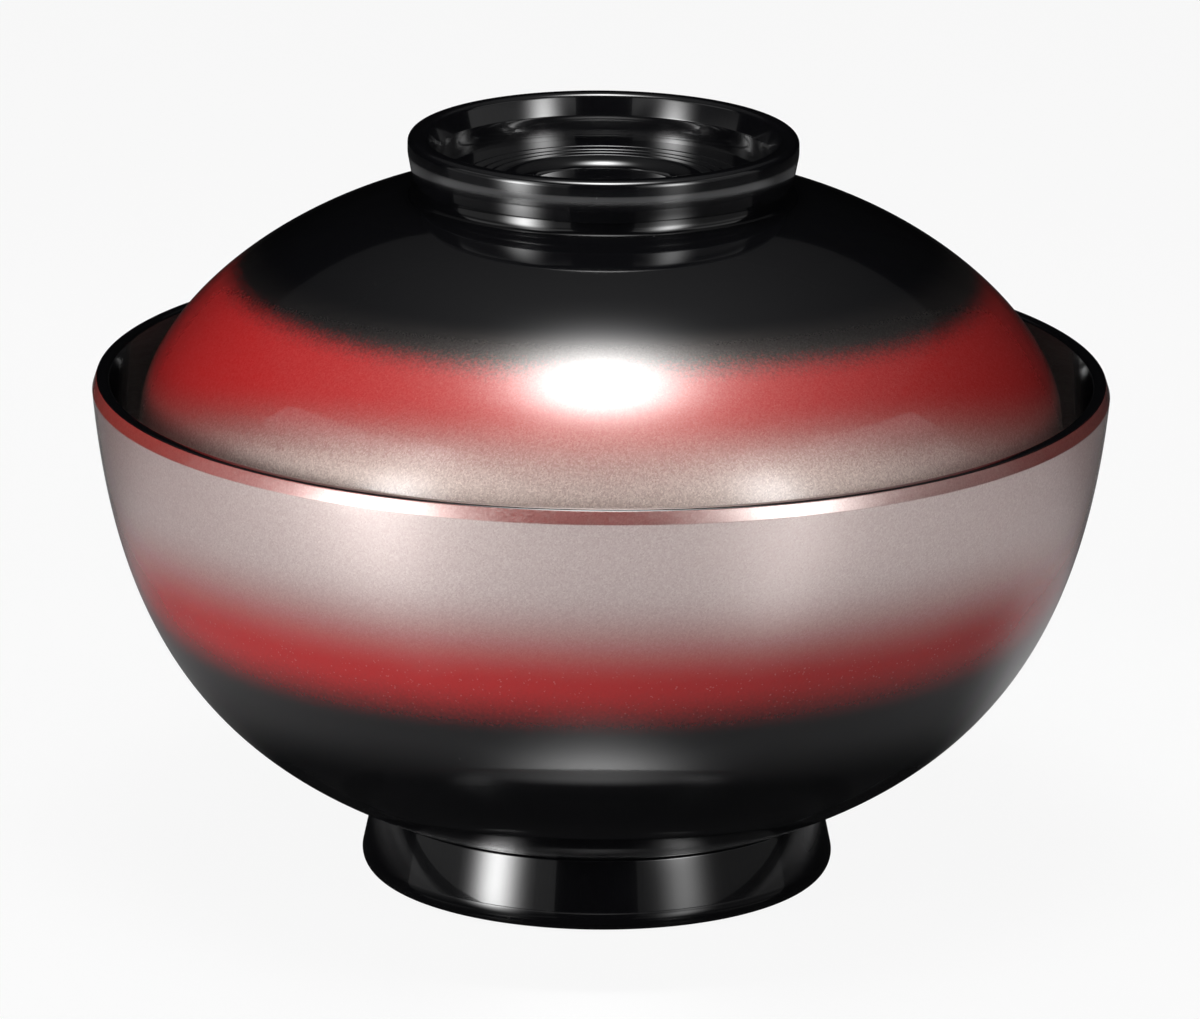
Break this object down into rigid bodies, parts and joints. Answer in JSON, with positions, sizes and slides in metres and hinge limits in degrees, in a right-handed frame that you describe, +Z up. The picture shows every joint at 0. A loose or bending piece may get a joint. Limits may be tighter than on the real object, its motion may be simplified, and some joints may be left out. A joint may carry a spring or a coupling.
{
  "type": "lidded soup bowl",
  "caption": "Round lacquered soup bowl on a ring foot, with a domed lid that drops inside the lip and lifts off by a ring grip with a tapered lip; silver, red and black blended finish.",
  "frame": {"origin": "centre of the foot ring's resting plane, on the bowl's axis", "axes": "+Z up along the axis of the bowl and lid; X and Y are level and interchangeable"},
  "size_m": [0.127, 0.127, 0.0947],
  "materials": {
    "sprayed_lacquer": "gloss clear coat over sprayed metallic silver-pink, red and black, blended along the height; black inside",
    "black_lacquer": "mirror-gloss black lacquer"
  },
  "bodies": {
    "bowl": {"bowl_shell": "sprayed_lacquer", "foot_ring": "black_lacquer"},
    "lid": {"lid_shell": "sprayed_lacquer", "grip_ring": "black_lacquer"}
  },
  "joints": [
    {"name": "lid_lift", "type": "slide", "parent": "bowl", "child": "lid", "axis": [0, 0, 1], "range_m": [0, 0.08]}
  ]
}
